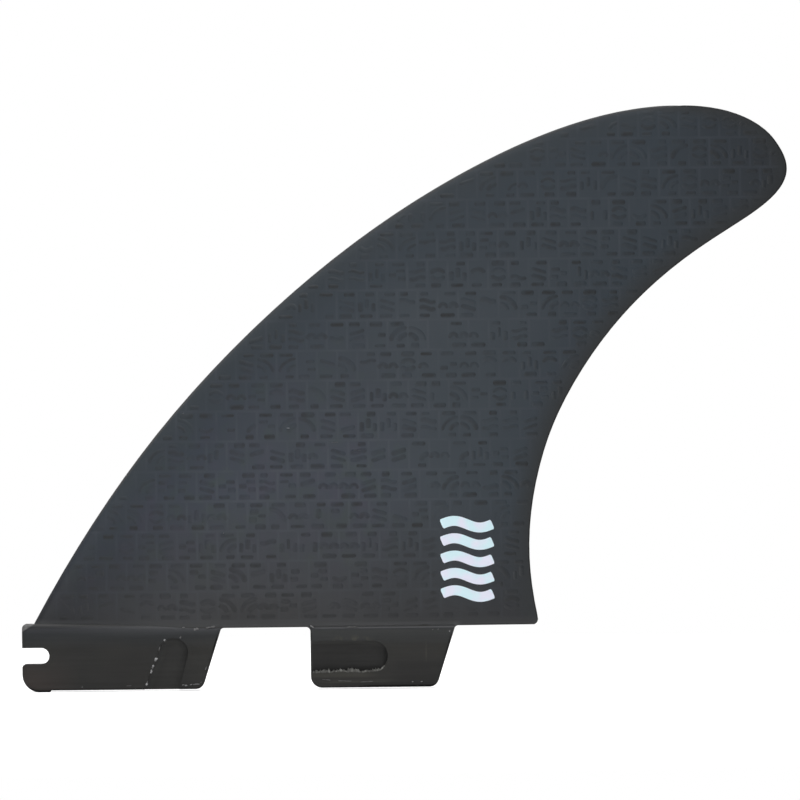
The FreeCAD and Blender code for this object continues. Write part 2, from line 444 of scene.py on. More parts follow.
def relief_paths(strength):
    """Every stroke on one face, its half width and its depth of tone, which is fainter for the
    strokes between a tile's two bars. Rows of tiles are shifted by half a tile in turn, a
    seeded draw picks each tile's motif and mirrors some of them, some strokes are worn away,
    and those that would have no height anywhere are left out. Widths are drawn from 0.7 to
    1.15 of the usual one, and tones from 0.3 to 1."""
    rng = np.random.default_rng(relief_seed)
    motifs = tile_motifs()
    rows = np.arange(int(blade_height / tile_height) + 1)
    row, column = np.meshgrid(rows, tile_columns, indexing="ij")
    row = row.ravel()
    column = column.ravel()
    kind = rng.integers(0, len(motifs), row.size)
    mirrored = rng.random(row.size) < 0.5
    corners = stacked(
        (column + 0.5 * (row % 2)) * tile_width, relief_above_base + row * tile_height,
    )
    found = []
    depths = []
    for number, strokes in enumerate(motifs):
        here = kind == number
        corner = corners[here][:, None, :]
        turned = mirrored[here][:, None]
        for order, stroke in enumerate(strokes):
            across = np.where(turned, 1 - stroke[:, 0], stroke[:, 0])
            shares = stacked(across, stroke[:, 1])
            found.append(corner + shares * (tile_width, tile_height))
            depths.append(np.full(len(corner), 1.0 if order < 2 else between_bars_tone))
    paths = np.concatenate(found)
    half_width = stroke_half_width * (0.7 + 0.45 * rng.random(len(paths)))
    tone = np.concatenate(depths) * (0.3 + 0.7 * rng.random(len(paths)))
    x = paths[..., 0]
    z = paths[..., 1]
    on_blade = (rim_distance(x, z) > relief_border).all(axis=1)
    worn = rng.random(len(paths)) < worn_away
    kept = on_blade & ~worn & (strength(x, z).max(axis=1) > 0.05)
    return paths[kept], half_width[kept], tone[kept]


def add_relief(name, face, side, strength, material):
    """The pressed pattern of one face, as separate low ribs. The tone of a stroke is full on its
    crest, less on its shoulders and nothing at its feet."""
    paths, half_width, tone = relief_paths(strength)
    points, faces = ribs(
        paths, half_width[:, None], relief_height, face, side, strength, stroke_shoulder,
    )
    relief = add_piece(name, points, faces, material)
    set_rim_values(relief, points)
    over_section = np.array([0.0, 0.70, 1.0, 0.70, 0.0, 0.0])
    risen = strength(points[..., 0], points[..., 2]) * over_section
    set_values(relief, "stroke_tone", risen * tone[:, None, None])


def add_mark(material):
    """A plain printed mark: level bands, each a sine wave whose height above the band's middle
    is the sine of the distance along it, narrow at both ends."""
    t = np.linspace(0, 1, mark_points)
    pitch = (mark_high - mark_low) / mark_bands
    middles = mark_low + pitch * (np.arange(mark_bands) + 0.5)
    x = mark_left + (mark_right - mark_left) * t
    z = middles[:, None] + mark_wave * pitch * np.sin(2 * np.pi * t)
    points, faces = ribs(
        stacked(x, z), mark_half_width * pitch, mark_proud, foiled_face, -1,
        shoulder=mark_shoulder,
    )
    add_piece("printed_mark", points, faces, material)


def add_flecks(name, places, face, height, seed, material):
    """Small chips and dust, each a short low rib with a ragged outline: x, z of its middle,
    length, width, its tilt in degrees from level, and how pale it is. Seeded draws widen,
    narrow and bend it."""
    centre_x, centre_z, length, width, tilt, pale = np.array(places, float).T[..., None]
    rng = np.random.default_rng(seed)
    t = np.linspace(-0.5, 0.5, fleck_points)
    shape = (len(places), t.size)
    reach = length * t
    bend = 0.22 * width * (rng.random(shape) - 0.5)
    cosine = np.cos(np.radians(tilt))
    sine = np.sin(np.radians(tilt))
    x = centre_x + reach * cosine - bend * sine
    z = centre_z + reach * sine + bend * cosine
    half_width = width / 2 * (0.45 + 0.75 * rng.random(shape))
    points, faces = ribs(stacked(x, z), half_width, height, face, -1, sink=fleck_sink)
    flecks = add_piece(name, points, faces, material)
    set_values(flecks, "paleness", np.broadcast_to(pale[..., None], points.shape[:3]))


def ragged(count, seed, broad, fine):
    """Values from 0 to 1 along a torn edge: seeded noise smoothed over two lengths."""
    rng = np.random.default_rng(seed)
    slow = np.convolve(rng.random(count + broad), np.ones(broad) / broad, "valid")[:count]
    quick = np.convolve(rng.random(count + fine), np.ones(fine) / fine, "valid")[:count]
    value = 0.45 * slow + 0.55 * quick
    return (value - value.min()) / (value.max() - value.min())


def torn_ridge(path, inward, reach, height):
    """A torn ridge along an edge of the tabs' outside face. Its section has six points: a foot
    outside the edge, a crest, a slope, a torn lip that reaches inward, and two points under the
    face. path and inward are points and directions in the side view; reach and height are the
    lip's reach and the crest's height at each point. Returns the points and the faces."""
    across = stacked(-0.32, -0.12, 0.5 * reach, reach, 0.35 * reach, -0.15)
    depth = stacked(0.03, -height, -0.6 * height, 0.12, 0.4, 0.3)
    side_view = path[:, None, :] + inward[:, None, :] * across[..., None]
    points = stacked(side_view[..., 0], -tab_face_y + depth, side_view[..., 1])
    faces = ring_faces(len(path), 6)[:, ::-1].tolist()
    faces.append(np.arange(6).tolist())
    faces.append((np.arange(6)[::-1] + (len(path) - 1) * 6).tolist())
    return points, faces


def add_ball_pocket_burr(material):
    """Torn flash along the ball pocket's lower edge and part way round its rear end: a level
    run, then a circle's arc that turns upwards."""
    radius = ball_pocket_height / 2
    level_x = np.linspace(rear_tab_front_x + burr_start, ball_pocket_turn_x, burr_level_points)
    arc = np.linspace(0, burr_turn, burr_arc_points)[1:]
    angle = np.concatenate([0 * level_x, arc])
    x = np.concatenate([level_x, 0 * arc + ball_pocket_turn_x]) + radius * np.sin(angle)
    z = -ball_pocket_drop - radius * np.cos(angle)
    count = len(x)
    fade = np.minimum(1, np.linspace(count / burr_fade_points, 0, count))
    reach = 0.04 + burr_reach * ragged(count, seed=5, broad=9, fine=3) ** 2.2 * fade
    height = 0.03 + burr_height * ragged(count, seed=8, broad=9, fine=3) * fade
    z = z + burr_wander * (ragged(count, seed=12, broad=17, fine=9) - 0.3)
    inward = stacked(-np.sin(angle), np.cos(angle))
    points, faces = torn_ridge(stacked(x, z), inward, reach, height)
    burr = add_piece("ball_pocket_burr", points, faces, material)
    pale = ragged(count, seed=31, broad=7, fine=2) ** 1.5
    set_values(burr, "paleness", np.broadcast_to(pale[:, None], points.shape[:2]))


def node_of(tree, kind, **values):
    """A node of a tree with the given settings."""
    node = tree.nodes.new(kind)
    for name, value in values.items():
        setattr(node, name, value)
    return node


def feed(tree, socket, value):
    """A socket linked from another one, or set to a plain value."""
    if isinstance(value, bpy.types.NodeSocket):
        tree.links.new(value, socket)
    else:
        socket.default_value = value


def new_group(name, inputs, outputs):
    """An empty shader node group with named inputs and outputs, and its two end nodes."""
    group = bpy.data.node_groups.new(name, "ShaderNodeTree")
    for label, kind, value in inputs:
        socket = group.interface.new_socket(name=label, in_out="INPUT", socket_type=kind)
        socket.default_value = value
    for label, kind in outputs:
        group.interface.new_socket(name=label, in_out="OUTPUT", socket_type=kind)
    start = group.nodes.new("NodeGroupInput")
    end = group.nodes.new("NodeGroupOutput")
    return group, start, end


def place_in(tree):
    """Object coordinates."""
    return node_of(tree, "ShaderNodeTexCoord").outputs["Object"]


def split(tree, vector):
    """The x, y and z of a vector."""
    parts = node_of(tree, "ShaderNodeSeparateXYZ")
    tree.links.new(vector, parts.inputs["Vector"])
    return parts.outputs


def value_of(tree, name):
    """A piece's own named value."""
    return node_of(tree, "ShaderNodeAttribute", attribute_name=name).outputs["Fac"]


def noise(tree, place, scale, detail):
    """The value of a noise texture at a place."""
    node = node_of(tree, "ShaderNodeTexNoise")
    node.inputs["Detail"].default_value = detail
    feed(tree, node.inputs["Scale"], scale)
    tree.links.new(place, node.inputs["Vector"])
    return node.outputs["Fac"]


def math_node(tree, operation, *values):
    """The output of a Math node fed by sockets or plain numbers."""
    node = node_of(tree, "ShaderNodeMath", operation=operation)
    for socket, value in zip(node.inputs, values):
        feed(tree, socket, value)
    return node.outputs[0]


def all_of(tree, mask, *others):
    """Masks multiplied, each a socket or a plain share."""
    for other in others:
        mask = math_node(tree, "MULTIPLY", mask, other)
    return mask


def any_of(tree, mask, *others):
    """The greatest of several masks."""
    for other in others:
        mask = math_node(tree, "MAXIMUM", mask, other)
    return mask


def band(tree, value, low, high, start=0.0, end=1.0):
    """A value taken from low..high to start..end, held at both ends."""
    node = node_of(tree, "ShaderNodeMapRange", clamp=True)
    tree.links.new(value, node.inputs["Value"])
    node.inputs["From Min"].default_value = low
    node.inputs["From Max"].default_value = high
    node.inputs["To Min"].default_value = start
    node.inputs["To Max"].default_value = end
    return node.outputs[0]


def ramp(tree, value, low, high, start=0.0, end=1.0):
    """As band, with low and high in millimetres for a value in metres."""
    return band(tree, value, low * MM, high * MM, start, end)


def window(tree, value, low, full, still_full, high):
    """1 from full to still_full, 0 outside low and high, in millimetres for a value in metres."""
    return all_of(tree, ramp(tree, value, low, full), ramp(tree, value, high, still_full))


def before_slant(tree, x, z, slant):
    """How far a place lies before a line that slants through the origin: slant times z, less x."""
    return math_node(tree, "SUBTRACT", math_node(tree, "MULTIPLY", z, slant), x)


def mix_colour(tree, factor, first, second):
    """The output of a colour Mix node; each colour is a socket or three numbers."""
    node = node_of(tree, "ShaderNodeMix", data_type="RGBA")
    tree.links.new(factor, node.inputs["Factor"])
    for socket, colour in ((node.inputs[6], first), (node.inputs[7], second)):
        feed(tree, socket, (*colour, 1.0) if isinstance(colour, tuple) else colour)
    return node.outputs[2]


def layered(tree, colour, layers):
    """A colour with others laid over it in turn, each as thick as its own mask."""
    for mask, over in layers:
        colour = mix_colour(tree, mask, colour, over)
    return colour


def moulded_grain_group():
    """Grain of a moulded face: broad cloudiness for the colour, and a fine orange peel with
    a slow swell under it for the height."""
    group, start, end = new_group(
        "moulded_grain",
        [("Cloud Scale", "NodeSocketFloat", 60.0), ("Peel Scale", "NodeSocketFloat", 1800.0)],
        [("Cloud", "NodeSocketFloat"), ("Height", "NodeSocketFloat")],
    )
    place = place_in(group)
    cloud = noise(group, place, start.outputs["Cloud Scale"], 3.0)
    peel = noise(group, place, start.outputs["Peel Scale"], 4.0)
    swell = math_node(group, "MULTIPLY", noise(group, place, 120.0, 1.0), 2.0)
    group.links.new(cloud, end.inputs["Cloud"])
    group.links.new(math_node(group, "ADD", swell, peel), end.inputs["Height"])
    return group


def use_group(tree, group, **values):
    """A group placed in a material, with its own values."""
    node = node_of(tree, "ShaderNodeGroup", node_tree=group)
    for name, value in values.items():
        node.inputs[name.replace("_", " ")].default_value = value
    return node


def new_material(name):
    """A material, its node tree and its Principled shader."""
    material = bpy.data.materials.new(name)
    material.use_nodes = True
    shader = material.node_tree.nodes["Principled BSDF"]
    return material, material.node_tree, shader


def add_bump(tree, shader, height, strength):
    """Bump of the grain's depth, from a height that varies over the surface."""
    bump = node_of(tree, "ShaderNodeBump")
    bump.inputs["Strength"].default_value = strength
    bump.inputs["Distance"].default_value = grain_depth * MM
    tree.links.new(height, bump.inputs["Height"])
    tree.links.new(bump.outputs["Normal"], shader.inputs["Normal"])


def tile_joints(group, x, z, joint_strength):
    """Mask of the joints between the tiles of the relief: near a whole number of tiles along
    each row, whose rows are shifted by half a tile in turn, or near a whole number of rows.
    The last argument says how strong they are from place to place."""
    risen = math_node(group, "SUBTRACT", z, relief_above_base * MM)
    up = math_node(group, "DIVIDE", risen, tile_height * MM)
    row = math_node(group, "FLOOR", up)
    shift = math_node(group, "MULTIPLY", math_node(group, "MODULO", row, 2.0), 0.5)
    along = math_node(group, "SUBTRACT", math_node(group, "DIVIDE", x, tile_width * MM), shift)
    upright = band(group, math_node(group, "PINGPONG", along, 0.5), 0.085, 0.025)
    level = band(group, math_node(group, "PINGPONG", up, 0.5), 0.06, 0.015)
    return all_of(group, any_of(group, upright, level), joint_strength)


def above_collar(tree, x, z):
    """Height above the collar's top on the front tab, and above the seat plane behind it."""
    collar_top = ramp(
        tree, x, tabs_front_x, front_tab_rear_x, collar_front_height * MM, collar_rear_height * MM,
    )
    return math_node(tree, "SUBTRACT", z, all_of(tree, collar_top, ramp(tree, x, -3, -5)))


def ledge_painted_light(group, x, z):
    """Mask of painted light on the blade's lowest millimetre above the collar's front and above
    the rear tab, lifting the shade by the ledge, stronger rearwards there, because the ledge is
    deeper."""
    over_front = ramp(group, x, -27, -42, 0.0, 0.5)
    over_rear = window(group, x, 16, 42, 49, 51)
    low = ramp(group, above_collar(group, x, z), 1.2, 0.4)
    return all_of(group, low, math_node(group, "ADD", over_front, over_rear))


def blade_tone_group():
    """Colour of the blade: two slates in broad clouds with a green and a lilac mottle, with
    painted light in the middle, nearly black towards the base and most of all between the tabs,
    and with painted light at its foot and on its lowest millimetre over the ledges. It is paler
    along the tiles' joints. Painted light makes it paler behind the nose, and a painted highlight
    runs along the lower and middle stretch of the nose. Painted shade makes it darker on the
    nose's upper stretch, towards the tip, before the tail and on the tail's corner."""
    group, start, end = new_group(
        "blade_tone", [("Cloud", "NodeSocketFloat", 0.5)], [("Tone", "NodeSocketColor")],
    )
    place = place_in(group)
    x, _, z = split(group, place)
    nose = value_of(group, "from_nose")
    tail = value_of(group, "from_tail")
    mottle = noise(group, place, 230.0, 2.0)
    # painted light: the middle of the blade is painted paler, where the light falls most
    lit_middle = all_of(group, window(group, x, 28, 46, 64, 80), ramp(group, z, 84, 68))
    between_tabs = all_of(group, window(group, x, -10, -2, 12, 20), ramp(group, z, 8, 3))
    # painted light: paler behind the nose, lifting the shade of the nose's curve
    behind_nose = all_of(group, band(group, nose, 9.0, 1.0), ramp(group, z, 10, 30))
    # how strong the pale joints are from place to place, stronger higher up
    joint_strength = all_of(
        group, band(group, noise(group, place, 190.0, 1.0), 0.35, 0.65, 0.15, 0.62),
        ramp(group, z, 4, 30, 0.22, 0.9),
    )
    # painted shade: the nose's upper stretch is painted darker to damp its highlight
    upper_nose = all_of(group, band(group, nose, 0.8, 0.2), ramp(group, z, 55, 85))
    # painted highlight: a pale line along the lower and middle stretch of the nose
    nose_highlight = all_of(
        group, band(group, nose, 0.6, 0.15), ramp(group, z, 78, 48),
        ramp(group, z, 10, 35, 0.4, 1.0),
    )
    slate = mix_colour(
        group, band(group, start.outputs["Cloud"], 0.35, 0.65),
        (0.0105, 0.0185, 0.0330), (0.0135, 0.0205, 0.0320),
    )
    tone = layered(group, slate, [
        (band(group, mottle, 0.52, 0.72, 0.0, 0.8), (0.0125, 0.0240, 0.0270)),
        (band(group, mottle, 0.48, 0.28, 0.0, 0.8), (0.0180, 0.0195, 0.0370)),
        (ramp(group, z, 35, 75), (0.0108, 0.0204, 0.0308)),
        # painted shade: darker towards the tip
        (ramp(group, x, 96, 124), (0.0055, 0.0095, 0.0155)),
        (lit_middle, (0.0143, 0.0240, 0.0342)),
        (ramp(group, z, 30, 2), (0.0066, 0.0076, 0.0104)),
        (between_tabs, (0.0026, 0.0032, 0.0050)),
        (behind_nose, (0.0142, 0.0218, 0.0290)),
        (tile_joints(group, x, z, joint_strength), (0.0250, 0.0320, 0.0440)),
        # painted shade: darker before the tail and on the tail's corner
        (band(group, tail, 5.0, 0.3), (0.0110, 0.0138, 0.0158)),
        (band(group, tail, 0.4, 0.1), (0.0020, 0.0030, 0.0040)),
        (upper_nose, (0.0030, 0.0050, 0.0080)),
        (nose_highlight, (0.0470, 0.0480, 0.0490)),
        # painted light: paler at the foot, lifting the shade near the tabs
        (ramp(group, z, 2.2, 0.7), (0.0115, 0.0125, 0.0142)),
        (ramp(group, z, 0.40, 0.15), near_black),
        # painted light on the lowest millimetre over the ledges, lifting their shade
        (ledge_painted_light(group, x, z), (0.0480, 0.0500, 0.0540)),
    ])
    group.links.new(tone, end.inputs["Tone"])
    return group


def slate_plastic(name, grain, blade_tone, bump_strength):
    """A new material of the blade's plastic, its tree and shader, its clouds and its tone."""
    material, tree, shader = new_material(name)
    texture = use_group(tree, grain, Cloud_Scale=45.0, Peel_Scale=1600.0)
    cloud = texture.outputs["Cloud"]
    tone = use_group(tree, blade_tone)
    tree.links.new(cloud, tone.inputs["Cloud"])
    add_bump(tree, shader, texture.outputs["Height"], bump_strength)
    return material, tree, shader, cloud, tone.outputs["Tone"]


def blade_finish(grain, blade_tone):
    """Satin slate plastic of the blade."""
    material, tree, shader, cloud, tone = slate_plastic("blade_finish", grain, blade_tone, 0.6)
    tree.links.new(tone, shader.inputs["Base Color"])
    tree.links.new(band(tree, cloud, 0.3, 0.7, 0.44, 0.50), shader.inputs["Roughness"])
    return material


def relief_finish(grain, blade_tone):
    """The pressed strokes: the blade's plastic, darker by each stroke's own tone, in blotches."""
    material, tree, shader, _, tone = slate_plastic("relief_finish", grain, blade_tone, 0.5)
    stroke = value_of(tree, "stroke_tone")
    blotch = band(tree, noise(tree, place_in(tree), 480.0, 2.0), 0.38, 0.60, 0.35, 1.0)
    colour = mix_colour(tree, all_of(tree, stroke, blotch), tone, (0.0015, 0.0026, 0.0036))
    tree.links.new(colour, shader.inputs["Base Color"])
    tree.links.new(band(tree, stroke, 0.0, 1.0, 0.47, 0.60), shader.inputs["Roughness"])
    return material


def hypotenuse(tree, first, second):
    """Square root of the sum of two squares."""
    squares = math_node(
        tree, "ADD",
        math_node(tree, "MULTIPLY", first, first), math_node(tree, "MULTIPLY", second, second),
    )
    return math_node(tree, "SQRT", squares)


def pocket_shade(tree, x, z, pocket):
    """Mask of painted shade inside the pockets: on the screw pocket's floor along its rear wall
    and round its rear top corner, and in the ball pocket downwards and towards its end."""
    gap = before_slant(tree, x, z, screw_pocket_slope)
    along_wall = all_of(
        tree, ramp(tree, gap, 1.1 - screw_pocket_right, 0.1 - screw_pocket_right),
        window(tree, z, -12.5, -7.5, -6.2, -5.0),
    )
    crown_x = math_node(tree, "SUBTRACT", x, screw_pocket_crown_x * MM)
    crown_z = math_node(tree, "SUBTRACT", z, screw_pocket_crown_z * MM)
    in_crown = all_of(
        tree, ramp(tree, hypotenuse(tree, crown_x, crown_z), 1.9, 3.2),
        ramp(tree, crown_x, -0.8, 1.4), ramp(tree, z, -7.4, -6.0),
    )
    in_screw_pocket = all_of(
        tree, any_of(tree, along_wall, in_crown), ramp(tree, x, -4.0, -9.0, 0.0, 0.34),
    )
    past_turn = math_node(tree, "SUBTRACT", x, ball_pocket_turn_x * MM)
    above = math_node(tree, "ADD", z, ball_pocket_drop * MM)
    at_end = all_of(tree, ramp(tree, past_turn, -1.2, 2.6, 0.0, 0.62), ramp(tree, above, 3.2, 1.2))
    downwards = ramp(tree, above, 3.2, -3.4, 0.05, 0.70)
    in_ball_pocket = all_of(tree, any_of(tree, downwards, at_end), ramp(tree, x, 14.0, 17.0))
    return all_of(tree, pocket, any_of(tree, in_screw_pocket, in_ball_pocket))


def edge_shade(tree, x, z, facing_y):
    """Mask of painted shade on the rims of the tabs: their rounded edges, strongest along the
    foot, the upper stretches of the raked rear ends, and a strip that widens rearwards along the
    foot of the rear tab."""
    rounded = all_of(
        tree, band(tree, math_node(tree, "ABSOLUTE", facing_y), 0.97, 0.70),
        ramp(tree, z, -0.8, -1.6), ramp(tree, z, -12.8, -13.7, 0.25, 1.0),
    )
    raked = before_slant(tree, x, z, tab_rake)
    front_end = all_of(
        tree, ramp(tree, raked, 0.6 - front_tab_rear_x, 0.3 - front_tab_rear_x),
        ramp(tree, x, 2, 0), ramp(tree, z, -8, -4),
    )
    rear_end = all_of(
        tree, ramp(tree, raked, 0.7 - tabs_rear_x, 0.3 - tabs_rear_x),
        ramp(tree, z, -11, -5, 0.2, 0.9),
    )
    ends = all_of(tree, any_of(tree, front_end, rear_end), ramp(tree, z, -0.8, -2.5))
    foot = all_of(tree, ramp(tree, z, -12.5, -13.5), ramp(tree, x, 20, 30))
    return any_of(tree, rounded, ends, foot)


def scuffs(tree, x, z, streak, speck):
    """Mask of the scuffed places of the rear tab: olive patches over the ball pocket, a strip and
    level streaks below it, and one upright line near the tab's rear end."""
    over = all_of(
        tree, window(tree, x, 20.5, 23.5, 28.0, 31.0), window(tree, z, -5.6, -4.4, -2.6, -1.6),
        band(tree, speck, 0.48, 0.66),
    )
    strip = all_of(
        tree, window(tree, x, 15.8, 17.5, 28.0, 32.0), window(tree, z, -11.7, -11.2, -10.3, -9.9),
    )
    under = all_of(
        tree, window(tree, x, 18.0, 21.0, 30.0, 39.0), window(tree, z, -12.9, -12.5, -12.2, -11.9),
        band(tree, streak, 0.36, 0.62),
    )
    line = all_of(
        tree, window(tree, x, 42.25, 42.5, 42.55, 42.8), window(tree, z, -11.8, -10.0, -6.0, -2.5),
    )
    return any_of(tree, over, under, all_of(tree, any_of(tree, line, strip), 0.5))


def tab_finish(grain):
    """Black plastic of the tabs: cooler towards the blade, warm at the toe and scuffed on the rear
    tab. Painted highlights make a pale band along the root, a pale line on the rear tab's top
    edge, a pale strip under the collar's top edge and a pale front top corner. Painted shade makes
    the rounded edges nearly black, darkens the collar's top at the front and darkens parts of the
    pockets, which are otherwise painted paler to lift their shade."""
    material, tree, shader = new_material("tab_finish")
    texture = use_group(tree, grain, Cloud_Scale=90.0, Peel_Scale=2200.0)
    place = place_in(tree)
    x, y, z = split(tree, place)
    facing = split(tree, node_of(tree, "ShaderNodeNewGeometry").outputs["Normal"])
    streak_space = node_of(tree, "ShaderNodeMapping")
    streak_space.inputs["Scale"].default_value = (60.0, 300.0, 1500.0)
    tree.links.new(place, streak_space.inputs["Vector"])
    streak = noise(tree, streak_space.outputs["Vector"], 1.0, 3.0)
    speck = noise(tree, place, 700.0, 3.0)
    collar = above_collar(tree, x, z)
    on_front = ramp(tree, x, 0, -2)
    sunk = ramp(tree, math_node(tree, "ABSOLUTE", y), 2.9, 2.3)
    pocket = all_of(tree, sunk, ramp(tree, z, -0.5, -1.0))

    rear_top = all_of(tree, ramp(tree, x, 5, 10), ramp(tree, z, -4.2, -1.2))
    toe = all_of(tree, ramp(tree, x, -36, -46), ramp(tree, z, -5.5, -11.5))
    lower_rear = all_of(tree, ramp(tree, x, 33, 37), ramp(tree, z, -6.5, -8.5))
    # painted highlight: a pale band along the tabs' top edge and the collar
    root_highlight = ramp(tree, z, -0.95, -0.2)
    # painted highlight: paler still along the top of the front tab
    heel_highlight = all_of(tree, ramp(tree, z, -1.6, 0.0), ramp(tree, x, -42, -14), on_front)
    # painted highlight: a pale line on the rear tab's top edge
    ledge_highlight = all_of(tree, window(tree, z, -0.5, -0.32, -0.15, 0.05), ramp(tree, x, 16, 19))
    # painted shade: the collar's upward-facing top is painted darker at the front
    crest = all_of(tree, ramp(tree, z, 0.2, 0.6), ramp(tree, x, -20, -40))
    # painted highlight: a pale strip just under the collar's top edge at the front
    lip = all_of(
        tree, ramp(tree, collar, -0.35, -0.1), ramp(tree, x, -22, -30), ramp(tree, z, 0.1, 0.4),
    )
    # painted light: paler under the ball pocket's top wall, under the screw pocket's crown and
    # along its front side, lifting the shade there
    under_brow = all_of(tree, sunk, ramp(tree, z, -4.1, -3.3), ramp(tree, x, 12, 14))
    under_crown = all_of(tree, pocket, ramp(tree, z, -7.0, -3.5, 0.0, 0.5), on_front)
    left_gap = before_slant(tree, x, z, screw_pocket_left_slope)
    by_left = all_of(
        tree, sunk, ramp(tree, left_gap, -2.0 - screw_pocket_left, -screw_pocket_left), on_front,
    )
    # painted highlight on the lit facet at the front top corner, with a painted shade line along
    # its lower side
    facet = before_slant(tree, x, z, shoulder_facet_slope)
    corner = all_of(tree, ramp(tree, facet, 48.2, 48.8), band(tree, speck, 0.30, 0.55, 0.6, 1.0))
    facet_shade_line = all_of(
        tree, window(tree, facet, 47.7, 48.0, 48.2, 48.5),
        band(tree, speck, 0.40, 0.60, 0.3, 1.0),
    )
    # painted shade under the collar's top edge at the front
    below_lip = all_of(tree, crest, ramp(tree, collar, -0.1, -0.35))
    # painted shade: the tabs' rims, parts of the pockets, a line along the front top corner's
    # facet and the collar's front under its top edge, painted towards near black
    painted_shade = any_of(
        tree, edge_shade(tree, x, z, facing[1]), pocket_shade(tree, x, z, pocket),
        all_of(tree, facet_shade_line, 0.6), all_of(tree, below_lip, 0.18),
    )

    plain = mix_colour(
        tree, band(tree, texture.outputs["Cloud"], 0.35, 0.65),
        (0.0079, 0.0079, 0.0075), (0.0107, 0.0100, 0.0088),
    )
    colour = layered(tree, plain, [
        (ramp(tree, x, -13, -8), (0.0130, 0.0125, 0.0110)),
        (ramp(tree, z, -4.5, -0.5), (0.0105, 0.0130, 0.0155)),
        (rear_top, (0.0210, 0.0225, 0.0225)),
        (toe, (0.0204, 0.0150, 0.0127)),
        (scuffs(tree, x, z, streak, speck), (0.0360, 0.0345, 0.0270)),
        (lower_rear, (0.0086, 0.0083, 0.0078)),
        (root_highlight, (0.0175, 0.0188, 0.0225)),
        (heel_highlight, (0.0350, 0.0365, 0.0400)),
        (ledge_highlight, (0.0440, 0.0450, 0.0480)),
        (crest, (0.0080, 0.0088, 0.0105)),
        (lip, (0.0205, 0.0215, 0.0240)),
        # painted light: the pockets are painted paler than the faces, lifting their shade
        (pocket, (0.0136, 0.0133, 0.0124)),
        (under_brow, (0.0340, 0.0340, 0.0315)),
        (under_crown, (0.0260, 0.0260, 0.0250)),
        (by_left, (0.0300, 0.0300, 0.0290)),
        (corner, (0.1300, 0.1300, 0.1300)),
        (painted_shade, near_black),
    ])
    tree.links.new(colour, shader.inputs["Base Color"])
    rough = any_of(tree, band(tree, streak, 0.3, 0.7, 0.52, 0.64), painted_shade)
    tree.links.new(rough, shader.inputs["Roughness"])
    shader.inputs["Specular IOR Level"].default_value = 0.34
    add_bump(tree, shader, texture.outputs["Height"], 0.6)
    return material


def worn_plastic(name, grain, dull, bright):
    """Torn or rubbed plastic, paler than the faces round it: from dull to bright by the piece's
    own paleness, and broken up by fine clouds."""
    material, tree, shader = new_material(name)
    texture = use_group(tree, grain, Cloud_Scale=900.0, Peel_Scale=3000.0)
    clouded = band(tree, texture.outputs["Cloud"], 0.30, 0.65)
    colour = mix_colour(tree, all_of(tree, value_of(tree, "paleness"), clouded), dull, bright)
    tree.links.new(colour, shader.inputs["Base Color"])
    rough = band(tree, texture.outputs["Cloud"], 0.3, 0.7, 0.5, 0.7)
    tree.links.new(rough, shader.inputs["Roughness"])
    add_bump(tree, shader, texture.outputs["Height"], 0.8)
    return material


def pale_print():
    """Pale foil print that turns from cyan to lilac in broad clouds."""
    material, tree, shader = new_material("pale_print")
    cloud = noise(tree, place_in(tree), 260.0, 1.0)
    colour = mix_colour(tree, band(tree, cloud, 0.4, 0.6), (0.62, 0.82, 0.88), (0.74, 0.76, 0.88))
    tree.links.new(colour, shader.inputs["Base Color"])
    tree.links.new(band(tree, cloud, 0.3, 0.7, 0.35, 0.45), shader.inputs["Roughness"])
    return material


def studio_paint():
    """Plain pale paint of the floor, which glows a little to look at, so that shadows on it are
    faint, and fades out into the white surround."""
    material, tree, shader = new_material("studio_paint")
    place = place_in(tree)
    colour = mix_colour(tree, noise(tree, place, 3.0, 1.0), (0.90, 0.90, 0.90), (0.92, 0.92, 0.92))
    tree.links.new(colour, shader.inputs["Base Color"])
    shader.inputs["Roughness"].default_value = 0.9
    shader.inputs["Emission Color"].default_value = (1.0, 1.0, 1.0, 1.0)
    looked_at = node_of(tree, "ShaderNodeLightPath").outputs["Is Camera Ray"]
    tree.links.new(band(tree, looked_at, 0.0, 1.0, 0.0, 0.55), shader.inputs["Emission Strength"])
    away = node_of(tree, "ShaderNodeVectorMath", operation="LENGTH")
    tree.links.new(place, away.inputs[0])
    fade = ramp(tree, away.outputs["Value"], floor_solid, floor_radius, 1.0, 0.0)
    tree.links.new(fade, shader.inputs["Alpha"])
    return material


def add_floor(material):
    """Pale round floor under the tabs: one level face with points round a circle."""
    turn = np.linspace(0, 2 * np.pi, floor_points, endpoint=False)
    circle = stacked(floor_radius * np.cos(turn), floor_radius * np.sin(turn), cad_low.z / MM)
    mesh = bpy.data.meshes.new("studio_floor")
    mesh.from_pydata((circle * MM).tolist(), [], [list(range(floor_points))])
    mesh.materials.append(material)
    floor = bpy.data.objects.new("studio_floor", mesh)
    bpy.context.scene.collection.objects.link(floor)


def standing(right, up, ahead, place):
    """The matrix of a lamp or camera that looks ahead from a place in millimetres."""
    matrix = np.eye(4)
    matrix[:3] = np.column_stack([right, up, -np.array(ahead), np.array(place) * MM])
    return Matrix(matrix.tolist())


def add_softbox(name, place, aim, size, watts):
    """A square area light at a place, turned to its aim; places are millimetres."""
    light = bpy.data.lights.new(name, "AREA")
    light.shape = "RECTANGLE"
    light.size = size[0] * MM
    light.size_y = size[1] * MM
    light.energy = watts
    lamp = bpy.data.objects.new(name, light)
    ahead = np.array(aim, float) - place
    ahead /= np.linalg.norm(ahead)
    right = np.cross(ahead, (0, 0, 1.0))
    right /= np.linalg.norm(right)
    lamp.matrix_world = standing(right, np.cross(right, ahead), ahead, place)
    lamp.visible_camera = False
    bpy.context.scene.collection.objects.link(lamp)


